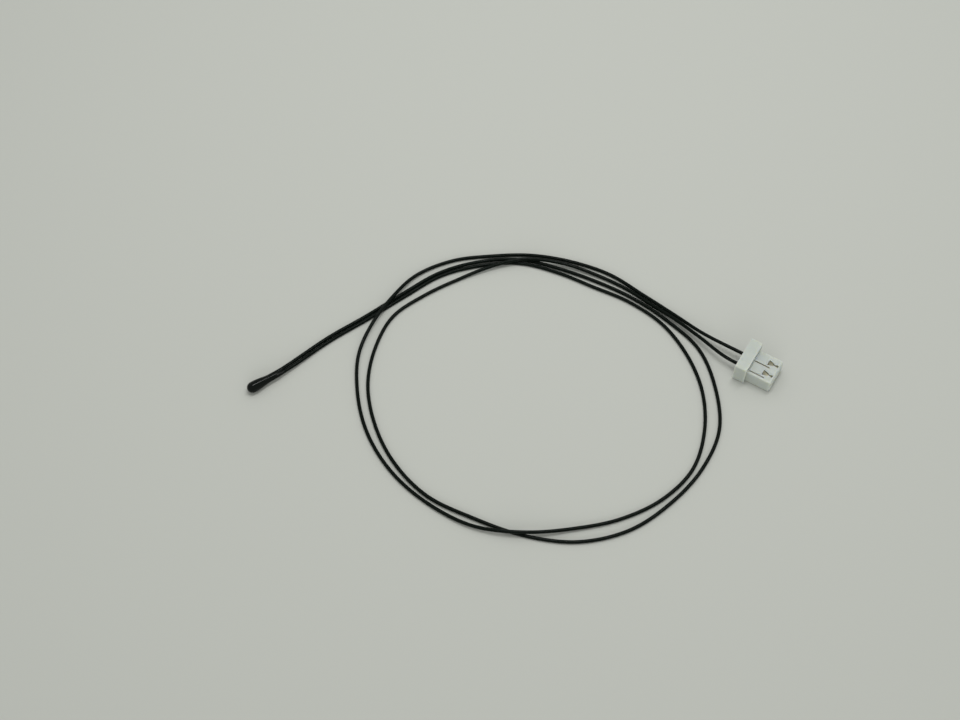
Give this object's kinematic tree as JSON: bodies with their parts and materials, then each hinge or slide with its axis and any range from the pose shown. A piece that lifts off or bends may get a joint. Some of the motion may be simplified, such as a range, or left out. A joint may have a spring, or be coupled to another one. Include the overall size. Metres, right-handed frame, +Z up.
{
  "type": "bead thermistor",
  "caption": "Epoxy-dipped bead thermistor on long thin insulated leads that lie in a loose coil and end in a moulded crimp connector, for sensing temperature at a small spot.",
  "frame": {"origin": "on the surface that the part lies on, under the middle of the bead", "axes": "+X along the bead from its tip towards the leads, +Z up from the surface, +Y to the left of +X"},
  "size_m": [0.0892, 0.0695, 0.0047],
  "materials": {
    "epoxy": "dipped black epoxy, smooth and glossy",
    "chip_ceramic": "sintered oxide ceramic, silvered on its two flat faces",
    "solder": "bright solder",
    "copper": "bare stranded copper",
    "insulation": "extruded black insulation with a soft sheen",
    "nylon": "moulded natural white nylon",
    "tinned_bronze": "stamped phosphor bronze with a thin tin plating"
  },
  "bodies": {
    "root": {"epoxy_bead": "epoxy", "ntc_chip": "chip_ceramic", "solder_a": "solder", "solder_b": "solder", "bead_core_a": "copper", "bead_core_b": "copper", "lead_a": "insulation", "lead_b": "insulation", "connector_housing": "nylon", "terminal_a": "tinned_bronze", "terminal_b": "tinned_bronze", "plug_core_a": "copper", "plug_core_b": "copper"}
  },
  "joints": []
}
